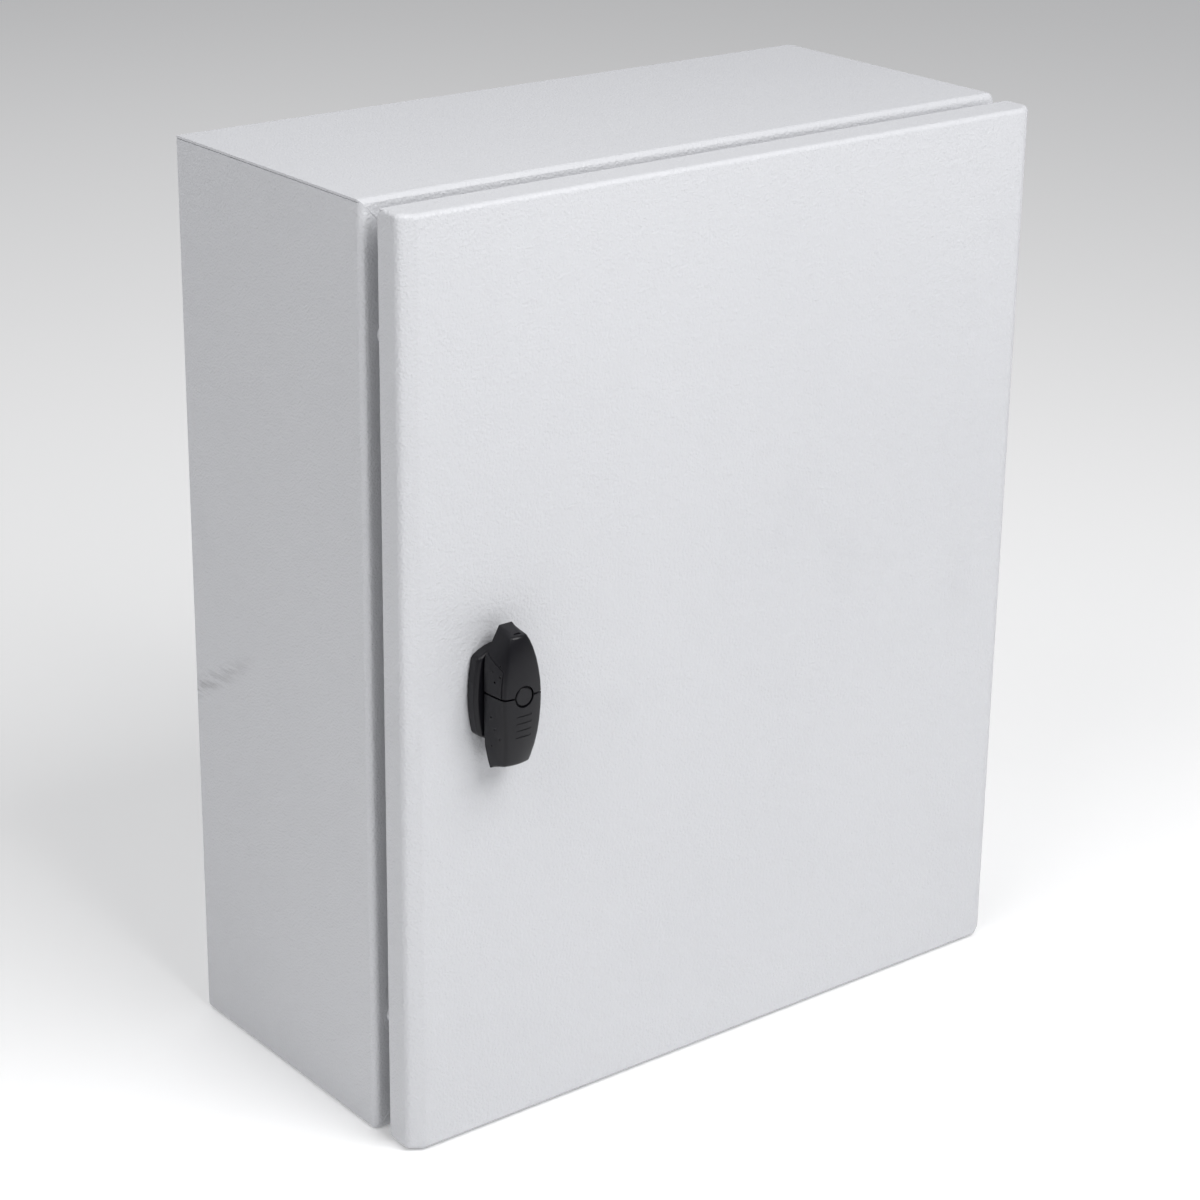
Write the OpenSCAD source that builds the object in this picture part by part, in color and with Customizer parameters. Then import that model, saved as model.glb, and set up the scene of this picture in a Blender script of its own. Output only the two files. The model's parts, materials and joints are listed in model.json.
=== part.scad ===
// Wall-mounting sheet-steel control cabinet with a hinged pan door.
// Frame: +X to the right, -Y out of the door, +Z up. The origin is the centre of
// the wall-fixing pattern, on the rear face of the cabinet.

/* [Cabinet body] */
// Overall width of the body
cab_w = 500; // [400:10:700]
// Overall height of the body
cab_h = 600; // [400:10:900]
// Depth of the body, from its rear face to its front flange
cab_d = 200; // [150:5:300]
// Sheet thickness of the body
body_t = 1.5; // [1.2:0.1:2]
// Outside radius of the folded body corners
corner_r = 3.5; // [2.5:0.5:5]
// Outside radius of the bend between a side wall and the front flange
rim_bend_r = 5; // [3:0.5:6]
// Width of the front flange, from the side wall to the upstand
flange_w = 25; // [24:1:32]
// Height of the upstand in front of the flange
upstand_h = 25.5; // [20:0.5:30]
// Width of the sealing lip, from the outside of the upstand
lip_w = 12; // [8:1:16]

/* [Wall fixing] */
// Distance of a wall hole from the side of the body
wall_hole_x = 45; // [30:1:70]
// Distance of a wall hole from the top or bottom of the body
wall_hole_z = 15; // [13:1:16]
// Diameter of a wall hole
wall_hole_d = 8.5; // [7:0.5:9]

/* [Door] */
// Gap between the front flange and the rear edge of the door
door_gap = 14; // [13:0.5:16]
// Depth of the door pan
door_depth = 24; // [22:0.5:30]
// How far the door is smaller than the body on each side
door_inset = 2; // [1.5:0.5:2.5]
// Sheet thickness of the door
door_t = 1.5; // [1.2:0.1:1.8]
// Width of the slanted facet along each upright edge of the door
facet_w = 10; // [6:1:12]
// Depth of the slanted facet
facet_depth = 6.5; // [4:0.5:8]
// Radius of the bend between the facet and the side of the door
facet_bend_r = 5; // [3:0.5:6]
// Radius on the rear corners of the door's side flanges
flange_corner_r = 6; // [3:0.5:8]
// Width of the foam seal
seal_w = 10; // [8:0.5:12]
// Clearance between the pressed foam seal and the sealing lip
seal_clear = 0.3; // [0.2:0.1:0.5]

/* [Door stiffeners] */
// Distance from the side of the body to the middle of a stiffener
stiffener_x = 102; // [95:1:130]
// Width of a stiffener's raised channel
stiffener_w = 20; // [16:1:24]
// Depth of a stiffener
stiffener_d = 13; // [8:0.5:14]
// Sheet thickness of a stiffener
stiffener_t = 1.5; // [1:0.1:2]
// Distance of a stiffener's end from the top or bottom of the body
stiffener_end = 62; // [52:1:100]
// Pitch of the row of holes in a stiffener
stiffener_pitch = 25; // [20:1:50]
// Diameter of a stiffener hole
stiffener_hole_d = 5; // [3:0.5:8]

/* [Hinges] */
// Distance of each hinge from the top or bottom of the body
hinge_z = 80; // [50:1:140]
// Distance of the hinge axis from the side of the body
hinge_x = 8; // [7.5:0.1:9]
// Distance of the hinge axis in front of the flange
hinge_y = 11; // [10:0.1:12]
// Radius of a hinge knuckle
knuckle_r = 4.2; // [3.4:0.1:4.2]
// Height of the middle knuckle
knuckle_h = 16; // [12:1:20]
// Height of each door knuckle
door_knuckle_h = 9; // [6:0.5:12]
// Diameter of the hinge pin
pin_d = 4; // [3:0.1:5]
// Radial clearance between the pin and the door knuckles
pin_clear = 0.05; // [0.02:0.01:0.1]
// Distance of the hinge fixing hole from the side of the body
hinge_hole_x = 16; // [16:0.5:17]
// Diameter of the hinge fixing hole in the flange
hinge_hole_d = 8.5; // [8.2:0.1:9]
// Outside diameter of the collar in a spare hinge hole
collar_d = 12.5; // [11:0.5:13]

/* [Mounting plate] */
// How much narrower than the body the mounting plate is
plate_less_w = 50; // [40:5:80]
// How much lower than the body the mounting plate is
plate_less_h = 50; // [50:5:100]
// Thickness of the mounting plate
plate_t = 2; // [1.5:0.5:3]
// Length of the collar that holds the plate off the rear panel
standoff_h = 18; // [12:1:30]
// Distance of a plate stud from the plate's edge
plate_stud_edge = 15; // [12:1:25]
// Diameter of a plate stud
plate_stud_d = 8; // [6:1:8]

/* [Gland plate] */
// Width of the cable opening in the bottom
gland_w = 340; // [200:10:360]
// Depth of the cable opening in the bottom
gland_d = 90; // [60:5:100]
// How far the gland plate laps over the opening
gland_lap = 16; // [14:1:20]
// Thickness of the gland plate
gland_t = 2; // [1.5:0.5:3]
// Thickness of the gland plate's seal
gland_seal_t = 2.5; // [1.5:0.5:4]

/* [Earthing] */
// Distance of the body's earth stud from the rear face
earth_stud_y = 120; // [60:5:120]
// Height of the body's earth stud above the bottom
earth_stud_z = 70; // [40:5:120]
// Diameter of the body's earth stud
earth_stud_d = 8; // [6:1:8]
// Distance of the door's earth stud from the lock axis, across the door
door_earth_x = 75; // [70:5:120]
// Distance of the door's earth stud from the foam seal
door_earth_edge = 13; // [10:1:20]
// Diameter of the door's earth stud
door_earth_d = 6; // [5:1:6]

/* [Lock and handle] */
// Distance of the lock axis from the side of the body
lock_x = 65; // [61:1:72]
// Height of the lock axis above the middle of the body
lock_z = 5; // [-20:1:20]
// Diameter of the spindle
spindle_d = 8; // [7:0.5:9]
// Radial clearance of the spindle in its barrel
spindle_clear = 0.05; // [0.02:0.01:0.1]
// Outside diameter of the lock barrel
barrel_d = 22; // [18:1:24]
// Width of the escutcheon
escutcheon_w = 41; // [38:1:50]
// Height of the escutcheon
escutcheon_h = 61; // [54:1:66]
// Thickness of the escutcheon
escutcheon_t = 8; // [6:0.5:10]
// Largest width of the handle
handle_w = 31; // [26:1:34]
// Length of the handle above its axis
handle_up = 41; // [34:1:46]
// Length of the handle below its axis
handle_down = 50; // [42:1:56]
// Depth of the handle's grips
handle_d = 19.5; // [17:0.5:26]
// Width of the slit between the two grips
grip_slit = 1.2; // [0.8:0.1:2]
// Diameter of the hub cap
hub_cap_d = 11.5; // [10:0.5:13]
// Gap between the upstand and the tip of the closed cam
cam_tip_gap = 1.5; // [1:0.5:2]
// Width of the cam
cam_w = 16; // [12:1:18]
// Thickness of the cam
cam_t = 3; // [2:0.5:4]
// Clearance between the cam and the sealing lip
cam_clear = 0.5; // [0.3:0.1:1]

/* [Hidden] */
$fn = 48;

steel_grey = [0.82, 0.82, 0.84];
plastic_black = [0.14, 0.14, 0.15];
zinc = [0.72, 0.73, 0.74];
foam_black = [0.10, 0.10, 0.10];

rim_front = cab_d + upstand_h;
door_back = cab_d + door_gap;
door_front = door_back + door_depth;
door_inner = door_front - door_t;
door_w = cab_w - 2 * door_inset;
door_h = cab_h - 2 * door_inset;
opening_edge = flange_w + lip_w;
mitre = opening_edge + 1;
hinge_px = cab_w / 2 - hinge_x;
hinge_py = -(cab_d + hinge_y);
hinge_heights = [cab_h / 2 - hinge_z, -(cab_h / 2 - hinge_z)];
hinge_hole_px = cab_w / 2 - hinge_hole_x;
hinge_pad_t = 3.5;
hinge_thread_d = 8;
hinge_nut_af = 13;
hinge_pad_w = 14;
hinge_pad_h = 30;
leaf_t = 2.5;
knuckle_gap = 0.2;
pin_over = 2;
lock_px = -(cab_w / 2 - lock_x);
plate_w = cab_w - plate_less_w;
plate_h = cab_h - plate_less_h;
plate_back = body_t + standoff_h;
plate_front = plate_back + plate_t;
plate_stud_px = plate_w / 2 - plate_stud_edge;
plate_stud_pz = plate_h / 2 - plate_stud_edge;
plate_stud_end = plate_front + 12;
gland_py = -cab_d / 2;
gland_floor = -cab_h / 2 + body_t;
gland_top = gland_floor + gland_seal_t + gland_t;
gland_stud_d = 5;
gland_stud_edge = 12;
gland_hole_d = gland_stud_d + 0.5;
gland_spots = [for (x = [-1, 0, 1], y = [-1, 1])
    [x * (gland_w / 2 - gland_stud_edge), gland_py + y * (gland_d / 2 + gland_lap / 2)]];
seal_outer = flange_w + 2;
seal_back = rim_front + seal_clear;
seal_corner_r = 6;
stiffener_px = cab_w / 2 - stiffener_x;
stiffener_len = cab_h - 2 * stiffener_end;
stiffener_foot = 10;
stiffener_stud_pz = stiffener_len / 2 - 12;
small_stud_d = 5;
leaf_stud_px = cab_w / 2 - seal_outer + 7;
leaf_stud_d = 5;
escutcheon_seal_t = 1;
escutcheon_front = door_front + escutcheon_seal_t + escutcheon_t;
escutcheon_drop = 4;
handle_gap = 0.4;
boss_t = 1.6;
grip_back = escutcheon_front + handle_gap + boss_t;
grip_front = grip_back + handle_d;
cam_front = rim_front - body_t - cam_clear;
cam_back = cam_front - cam_t;
barrel_back = cam_front + cam_clear;
square_a = spindle_d * 0.7;
post_d = hub_cap_d + 2;
earth_spot = [cab_w / 2 - body_t, -earth_stud_y, -cab_h / 2 + earth_stud_z];
earth_seat_t = 2;
earth_nut_pitch = 10;
door_earth_px = lock_px + door_earth_x;
door_earth_pz = -(cab_h / 2 - seal_outer - seal_w - door_earth_edge);
door_earth_washer_t = 1.2;
cam_reach = lock_x - flange_w - body_t - cam_tip_gap;
barrel_bore = barrel_d + 0.4;
barrel_nut_t = 6;
cap_seat = grip_front - 3.4;
post_end = grip_front - 1.4;
spindle_end = grip_front - 8;
cam_screw_d = 4;
cam_washer_t = 1;
cam_square_clear = 0.05;
seam_gap = 0.3;
collar_proud = 2.6;
standoff_d = plate_stud_d + 8;
washer_t = 1.6;
small_nut_af = 8;
stiffener_hole = small_stud_d + 0.4;
stiffener_row_end = 10;

// Points along an arc, from angle a0 to a1
function arc(cx, cy, r, a0, a1, n = 6) =
    [for (i = [0:n]) let (a = a0 + (a1 - a0) * i / n) [cx + r * cos(a), cy + r * sin(a)]];

// Rounded rectangle centred on the origin; tl is the radius of its top-left corner
function rounded_box(w, h, r, tl) = concat(
    arc(w / 2 - r, h / 2 - r, r, 0, 90),
    tl > 0 ? arc(-w / 2 + tl, h / 2 - tl, tl, 90, 180) : [[-w / 2, h / 2]],
    arc(-w / 2 + r, -h / 2 + r, r, 180, 270),
    arc(w / 2 - r, -h / 2 + r, r, 270, 360));

// Stand a 2D drawing of the front view up, from depth y0 out to depth y1
module front_view(y0, y1) {
    translate([0, -y0, 0]) rotate([90, 0, 0]) linear_extrude(y1 - y0) children();
}

// A cylinder that points out of the door, from depth y0 to depth y1
module out_cyl(x, z, y0, y1, d) {
    translate([x, -y0, z]) rotate([90, 0, 0]) cylinder(h = y1 - y0, d = d);
}

// A hexagon nut on such an axis
module out_nut(x, z, y0, af, bore) {
    h = af * 0.5;
    difference() {
        translate([x, -y0, z]) rotate([90, 0, 0]) cylinder(h = h, d = af / cos(30), $fn = 6);
        out_cyl(x, z, y0 - 1, y0 + h + 1, bore);
    }
}

// A flat washer on such an axis
module out_washer(x, z, y0, h, d, bore) {
    difference() {
        out_cyl(x, z, y0, y0 + h, d);
        out_cyl(x, z, y0 - 1, y0 + h + 1, bore);
    }
}

// ---- cabinet body ----

// Section of the folded rim: [distance in from the side, distance out from the rear face]
rim_start = cab_d - rim_bend_r;
rim_section = concat(
    [[0, rim_start - 1]],
    arc(rim_bend_r, rim_start, rim_bend_r, 180, 90),
    [[flange_w, cab_d], [flange_w, rim_front], [opening_edge, rim_front],
     [opening_edge, rim_front - body_t], [flange_w + body_t, rim_front - body_t],
     [flange_w + body_t, cab_d - body_t]],
    arc(rim_bend_r, rim_start, rim_bend_r - body_t, 90, 180),
    [[body_t, rim_start - 1]]);

// One side of the rim, mitred at both ends; half is half of the body across it
module rim_side(half, len) {
    intersection() {
        translate([half, 0, -len / 2]) linear_extrude(len)
            polygon([for (p = rim_section) [-p[0], -p[1]]]);
        front_view(0, rim_front + 1)
            polygon([[half, len / 2], [half - mitre, len / 2 - mitre],
                     [half - mitre, -len / 2 + mitre], [half, -len / 2]]);
    }
}

module body_wrap() {
    color(steel_grey) difference() {
        union() {
            // the strip round the four sides, lapped at its top-left corner
            front_view(0, rim_start) difference() {
                polygon(rounded_box(cab_w, cab_h, corner_r, 0));
                polygon(rounded_box(cab_w - 2 * body_t, cab_h - 2 * body_t,
                                    corner_r - body_t, 0));
            }
            intersection() {
                union() {
                    rim_side(cab_w / 2, cab_h);
                    rotate([0, 180, 0]) rim_side(cab_w / 2, cab_h);
                    rotate([0, 90, 0]) rim_side(cab_h / 2, cab_w);
                    rotate([0, -90, 0]) rim_side(cab_h / 2, cab_w);
                }
                front_view(0, rim_front + 1) polygon(rounded_box(cab_w, cab_h, corner_r, 0));
            }
        }
        // seam under the edge of the top sheet
        translate([-cab_w / 2 - 1, -rim_start, cab_h / 2 - body_t - seam_gap])
            cube([1.4, rim_start + 1, seam_gap]);
        // cable opening
        translate([-gland_w / 2, gland_py - gland_d / 2, -cab_h / 2 - 1])
            cube([gland_w, gland_d, body_t + 2]);
        // holes for hinges on either side
        for (side = [-1, 1], z = hinge_heights)
            out_cyl(side * hinge_hole_px, z, cab_d - body_t - 1, cab_d + 1, hinge_hole_d);
    }
}

module rear_panel() {
    color(steel_grey) difference() {
        front_view(0, body_t)
            polygon(rounded_box(cab_w - 2 * body_t, cab_h - 2 * body_t, corner_r - body_t, 0));
        for (x = [-1, 1], z = [-1, 1])
            out_cyl(x * (cab_w / 2 - wall_hole_x), z * (cab_h / 2 - wall_hole_z),
                    -1, body_t + 1, wall_hole_d);
    }
}

// Collar pressed into an unused hinge hole
module spare_collar(z) {
    color(steel_grey) difference() {
        union() {
            out_cyl(-hinge_hole_px, z, cab_d, cab_d + collar_proud, collar_d);
            out_cyl(-hinge_hole_px, z, cab_d - body_t - 1, cab_d, hinge_hole_d);
        }
        out_cyl(-hinge_hole_px, z, cab_d - body_t - 2, cab_d + 4, hinge_hole_d - 2);
    }
}
module spare_collar_upper() { spare_collar(hinge_heights[0]); }
module spare_collar_lower() { spare_collar(hinge_heights[1]); }

// Children are placed at the four corners of the mounting plate's stud pattern
module at_plate_studs() {
    for (x = [-1, 1], z = [-1, 1])
        translate([x * plate_stud_px, 0, z * plate_stud_pz]) children();
}

module plate_studs() {
    color(zinc) at_plate_studs() {
        out_cyl(0, 0, body_t, plate_back, standoff_d);
        out_cyl(0, 0, plate_back, plate_stud_end, plate_stud_d);
    }
}

module mounting_plate() {
    color(zinc) difference() {
        front_view(plate_back, plate_front) polygon(rounded_box(plate_w, plate_h, 4, 4));
        at_plate_studs() out_cyl(0, 0, plate_back - 1, plate_front + 1, plate_stud_d + 1);
    }
}

module plate_washers() {
    color(zinc) at_plate_studs()
        out_washer(0, 0, plate_front, washer_t, plate_stud_d * 2, plate_stud_d + 0.4);
}

module plate_nuts() {
    color(zinc) at_plate_studs()
        out_nut(0, 0, plate_front + washer_t, plate_stud_d * 1.625, plate_stud_d);
}

// Stud that points in from the right-hand wall
module earth_stud() {
    color("goldenrod") translate(earth_spot) rotate([0, -90, 0]) {
        cylinder(h = earth_seat_t, d = earth_stud_d * 1.5);
        cylinder(h = earth_seat_t + 2.2 * earth_nut_pitch, d = earth_stud_d);
    }
}

module earth_nuts() {
    color("goldenrod") translate(earth_spot) rotate([0, -90, 0]) for (i = [0, 1])
        translate([0, 0, earth_seat_t + i * earth_nut_pitch]) difference() {
            union() {
                cylinder(h = washer_t, d = 2 * earth_stud_d);
                translate([0, 0, washer_t])
                    cylinder(h = 6, d = 1.625 * earth_stud_d / cos(30), $fn = 6);
            }
            translate([0, 0, -1]) cylinder(h = earth_nut_pitch, d = earth_stud_d);
        }
}

// ---- cable entry ----

module gland_slab(z0, z1, hole) {
    difference() {
        translate([-gland_w / 2 - gland_lap, gland_py - gland_d / 2 - gland_lap, z0])
            cube([gland_w + 2 * gland_lap, gland_d + 2 * gland_lap, z1 - z0]);
        for (p = gland_spots)
            translate([p[0], p[1], z0 - 1]) cylinder(h = z1 - z0 + 2, d = hole);
    }
}

module gland_seal() {
    color(foam_black) difference() {
        gland_slab(gland_floor, gland_floor + gland_seal_t, gland_hole_d);
        translate([-gland_w / 2, gland_py - gland_d / 2, gland_floor - 1])
            cube([gland_w, gland_d, gland_seal_t + 2]);
    }
}

module gland_plate() {
    color(steel_grey) gland_slab(gland_floor + gland_seal_t, gland_top, gland_hole_d);
}

module gland_studs() {
    color(zinc) for (p = gland_spots)
        translate([p[0], p[1], gland_floor]) cylinder(h = gland_top - gland_floor + 7, d = gland_stud_d);
}

module gland_nuts() {
    color(zinc) for (p = gland_spots) translate([p[0], p[1], gland_top]) difference() {
        union() {
            cylinder(h = 1, d = 11);
            translate([0, 0, 1]) cylinder(h = 4, d = small_nut_af / cos(30), $fn = 6);
        }
        translate([0, 0, -1]) cylinder(h = 8, d = gland_stud_d);
    }
}

// ---- hinges ----

// Cranked block bolted to the flange, with the middle knuckle of the hinge
module hinge_block(z) {
    reach = hinge_hole_x - hinge_x - 1;
    color(zinc) difference() {
        union() {
            translate([hinge_hole_px - hinge_pad_w / 2, -cab_d - hinge_pad_t, z - hinge_pad_h / 2])
                cube([hinge_pad_w, hinge_pad_t, hinge_pad_h]);
            translate([hinge_px - reach - 6, hinge_py - 2.5, z - knuckle_h / 2])
                cube([8, hinge_y + 2.5 - hinge_pad_t + 1, knuckle_h]);
            translate([hinge_px - reach, hinge_py - 2.5, z - knuckle_h / 2])
                cube([reach, 5, knuckle_h]);
            translate([hinge_px, hinge_py, z - knuckle_h / 2]) cylinder(h = knuckle_h, r = knuckle_r);
            out_cyl(hinge_hole_px, z, cab_d - body_t - 10, cab_d, hinge_thread_d);
        }
        translate([hinge_px, hinge_py, z - knuckle_h]) cylinder(h = 2 * knuckle_h, d = pin_d);
    }
}
module hinge_block_upper() { hinge_block(hinge_heights[0]); }
module hinge_block_lower() { hinge_block(hinge_heights[1]); }

module hinge_nuts() {
    color(zinc) for (z = hinge_heights)
        out_nut(hinge_hole_px, z, cab_d - body_t - hinge_nut_af / 2, hinge_nut_af, hinge_thread_d);
}

module hinge_pin(z) {
    half = knuckle_h / 2 + knuckle_gap + door_knuckle_h + pin_over;
    color("silver") translate([hinge_px, hinge_py, z - half]) {
        cylinder(h = 2 * half, d = pin_d);
        translate([0, 0, 2 * half]) cylinder(h = 1.5, d = pin_d + 2);
    }
}
module hinge_pin_upper() { hinge_pin(hinge_heights[0]); }
module hinge_pin_lower() { hinge_pin(hinge_heights[1]); }

// Leaf bolted inside the door, with the two outer knuckles of the hinge; it is
// trimmed to the inside of the door pan
module door_leaf(z) {
    low = knuckle_h / 2 + knuckle_gap;
    leaf_h = 2 * (low + door_knuckle_h);
    foot_x = cab_w / 2 - seal_outer + 1;
    color(zinc) difference() {
        union() {
            intersection() {
                union() {
                    translate([foot_x, -door_inner, z - leaf_h / 2])
                        cube([hinge_px - foot_x, leaf_t, leaf_h]);
                    for (s = [-1, 1])
                        translate([hinge_px - knuckle_r, -door_inner,
                                   z + s * (low + door_knuckle_h / 2) - door_knuckle_h / 2])
                            cube([knuckle_r, door_inner + hinge_py, door_knuckle_h]);
                }
                translate([0, 0, z - leaf_h]) linear_extrude(2 * leaf_h) door_plan(door_t);
            }
            for (s = [-1, 1])
                translate([hinge_px, hinge_py,
                           z + s * (low + door_knuckle_h / 2) - door_knuckle_h / 2])
                    cylinder(h = door_knuckle_h, r = knuckle_r);
        }
        translate([hinge_px, hinge_py, z - leaf_h])
            cylinder(h = 2 * leaf_h, d = pin_d + 2 * pin_clear);
        for (s = [-1, 1])
            out_cyl(leaf_stud_px, z + s * leaf_h / 4, door_inner - leaf_t - 1, door_inner + 1,
                    leaf_stud_d + 0.4);
    }
}
module door_leaf_upper() { door_leaf(hinge_heights[0]); }
module door_leaf_lower() { door_leaf(hinge_heights[1]); }

leaf_stud_z = [for (z = hinge_heights, s = [-1, 1])
    z + s * (knuckle_h / 2 + knuckle_gap + door_knuckle_h) / 2];

module leaf_studs() {
    color(zinc) for (z = leaf_stud_z)
        out_cyl(leaf_stud_px, z, door_inner - leaf_t - 6, door_inner, leaf_stud_d);
}

module leaf_nuts() {
    color(zinc) for (z = leaf_stud_z)
        out_nut(leaf_stud_px, z, door_inner - leaf_t - small_nut_af / 2, small_nut_af,
                leaf_stud_d);
}

// ---- door ----

// Half of the door's plan, from its middle to its right-hand rear edge:
// [distance from the middle, distance out from the rear face], set in by s
facet_a = atan2(facet_depth, facet_w);
function door_side(s, back) =
    let (cx = door_w / 2 - facet_bend_r,
         fx = door_w / 2 - facet_w,
         // the bend is tangent to the side of the door and to the line of the facet
         cy = door_front - facet_bend_r / cos(facet_a) - (cx - fx) * tan(facet_a))
    concat([[fx - s * tan(facet_a / 2), door_front - s]],
           arc(cx, cy, facet_bend_r - s, 90 - facet_a, 0, 5),
           [[door_w / 2 - s, back]]);

// The whole plan of the door pan, set in by s, from its rear edge to its front
module door_plan(s, back = cab_d) {
    half = [for (p = door_side(s, back)) [p[0], -p[1]]];
    polygon(concat([for (i = [len(half) - 1:-1:0]) [-half[i][0], half[i][1]]], half));
}

module door_panel() {
    color(steel_grey) difference() {
        translate([0, 0, -door_h / 2]) linear_extrude(door_h) door_plan(0, door_back);
        translate([0, 0, -door_h / 2 + door_t]) linear_extrude(door_h - 2 * door_t)
            door_plan(door_t);
        // rounded rear corners of the side flanges
        for (x = [-1, 1], z = [-1, 1])
            translate([x * door_w / 2 - 3, -door_back, z * door_h / 2])
                rotate([0, 90, 0]) linear_extrude(6) difference() {
                    translate([z > 0 ? -1 : -flange_corner_r, -flange_corner_r])
                        square(flange_corner_r + 1);
                    translate([z * flange_corner_r, -flange_corner_r]) circle(r = flange_corner_r);
                }
        out_cyl(lock_px, lock_z, door_inner - 1, door_front + 1, barrel_bore);
    }
}

module door_seal() {
    w = cab_w - 2 * seal_outer;
    h = cab_h - 2 * seal_outer;
    color(foam_black) front_view(seal_back, door_inner) difference() {
        polygon(rounded_box(w, h, seal_corner_r, seal_corner_r));
        polygon(rounded_box(w - 2 * seal_w, h - 2 * seal_w, 3, 3));
    }
}

// Perforated hat-section rail up the inside of the door
module stiffener(x) {
    y0 = door_inner - stiffener_d;
    half = stiffener_w / 2;
    t = stiffener_t;
    hat = [[-half - stiffener_foot, -door_inner], [-half - stiffener_foot, -door_inner + t],
           [-half, -door_inner + t], [-half, -y0], [half, -y0], [half, -door_inner + t],
           [half + stiffener_foot, -door_inner + t], [half + stiffener_foot, -door_inner],
           [half - t, -door_inner], [half - t, -y0 - t], [-half + t, -y0 - t],
           [-half + t, -door_inner]];
    rows = floor((stiffener_len / 2 - stiffener_row_end) / stiffener_pitch);
    color(zinc) translate([x, 0, 0]) difference() {
        translate([0, 0, -stiffener_len / 2]) linear_extrude(stiffener_len) polygon(hat);
        for (i = [-rows:rows])
            out_cyl(0, i * stiffener_pitch, y0 - 1, y0 + t + 1, stiffener_hole_d);
        for (s = [-1, 1], z = [-1, 1])
            out_cyl(s * (half + stiffener_foot / 2), z * stiffener_stud_pz,
                    door_inner - t - 1, door_inner + 1, stiffener_hole);
    }
}
module stiffener_left() { stiffener(-stiffener_px); }
module stiffener_right() { stiffener(stiffener_px); }

stiffener_stud_spots = [for (x = [-1, 1], s = [-1, 1], z = [-1, 1])
    [x * stiffener_px + s * (stiffener_w + stiffener_foot) / 2, z * stiffener_stud_pz]];

module stiffener_studs() {
    color(zinc) for (p = stiffener_stud_spots)
        out_cyl(p[0], p[1], door_inner - stiffener_t - 6, door_inner, small_stud_d);
}

module stiffener_nuts() {
    color(zinc) for (p = stiffener_stud_spots)
        out_nut(p[0], p[1], door_inner - stiffener_t - small_nut_af / 2, small_nut_af, small_stud_d);
}

module door_earth_stud() {
    color("goldenrod")
        out_cyl(door_earth_px, door_earth_pz, door_inner - 2.6 * door_earth_d, door_inner, door_earth_d);
}

module door_earth_nuts() {
    af = door_earth_d * 5 / 3;
    under = door_inner - af / 2;
    color("goldenrod") {
        out_nut(door_earth_px, door_earth_pz, under, af, door_earth_d);
        out_washer(door_earth_px, door_earth_pz, under - door_earth_washer_t, door_earth_washer_t,
                   1.3 * af, door_earth_d + 0.4);
        out_nut(door_earth_px, door_earth_pz, under - door_earth_washer_t - af / 2, af, door_earth_d);
    }
}

// ---- lock and handle ----

// Half of the escutcheon's outline, with bulging sides and crowned ends
module escutcheon_outline(inset) {
    w = escutcheon_w / 2 - inset;
    h = escutcheon_h / 2 - inset;
    polygon([[0, h], [w * 0.55, h * 0.9], [w * 0.86, h * 0.66], [w * 0.97, h * 0.35], [w, 0],
             [w * 0.97, -h * 0.35], [w * 0.86, -h * 0.66], [w * 0.55, -h * 0.9], [0, -h],
             [-w * 0.55, -h * 0.9], [-w * 0.86, -h * 0.66], [-w * 0.97, -h * 0.35], [-w, 0],
             [-w * 0.97, h * 0.35], [-w * 0.86, h * 0.66], [-w * 0.55, h * 0.9]]);
}

module at_escutcheon() {
    translate([lock_px, 0, lock_z - escutcheon_drop]) children();
}

module escutcheon_seal() {
    color(foam_black) difference() {
        at_escutcheon() front_view(door_front, door_front + escutcheon_seal_t)
            escutcheon_outline(1.5);
        out_cyl(lock_px, lock_z, door_front - 1, door_front + 2, barrel_bore);
    }
}

module escutcheon() {
    y0 = door_front + escutcheon_seal_t;
    color(plastic_black) difference() {
        at_escutcheon() union() {
            front_view(y0, y0 + escutcheon_t - 3) escutcheon_outline(0);
            front_view(y0 + escutcheon_t - 3, escutcheon_front) escutcheon_outline(2);
        }
        out_cyl(lock_px, lock_z, y0 - 1, escutcheon_front + 1, barrel_bore);
    }
}

module lock_barrel() {
    color(zinc) difference() {
        out_cyl(lock_px, lock_z, barrel_back, escutcheon_front - 0.5, barrel_d);
        out_cyl(lock_px, lock_z, barrel_back - 1, escutcheon_front, spindle_d + 2 * spindle_clear);
    }
}

module barrel_nut() {
    color(zinc) difference() {
        translate([lock_px, -(door_inner - barrel_nut_t), lock_z]) rotate([90, 0, 0])
            cylinder(h = barrel_nut_t, d = (barrel_d + 5) / cos(30), $fn = 6);
        out_cyl(lock_px, lock_z, door_inner - barrel_nut_t - 1, door_inner + 1, barrel_d);
    }
}

// Thrust boss and post that the two grips are moulded to seat on
module handle_core() {
    color(plastic_black) difference() {
        union() {
            out_cyl(lock_px, lock_z, escutcheon_front + handle_gap, grip_back, handle_w - 5);
            out_cyl(lock_px, lock_z, grip_back, post_end, post_d - 0.4);
        }
        out_cyl(lock_px, lock_z, escutcheon_front, spindle_end, spindle_d);
        out_cyl(lock_px, lock_z, cap_seat, grip_front + 1, hub_cap_d);
    }
}

// One station of the grips: half width w at height z, between two depths
module grip_station(z, w, y0, y1, chamfer) {
    translate([lock_px, 0, lock_z + z]) linear_extrude(0.2)
        polygon([[-w, -y0], [-w, -y1 + 2 * chamfer], [-w + chamfer, -y1],
                 [w - chamfer, -y1], [w, -y1 + 2 * chamfer], [w, -y0]]);
}

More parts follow.
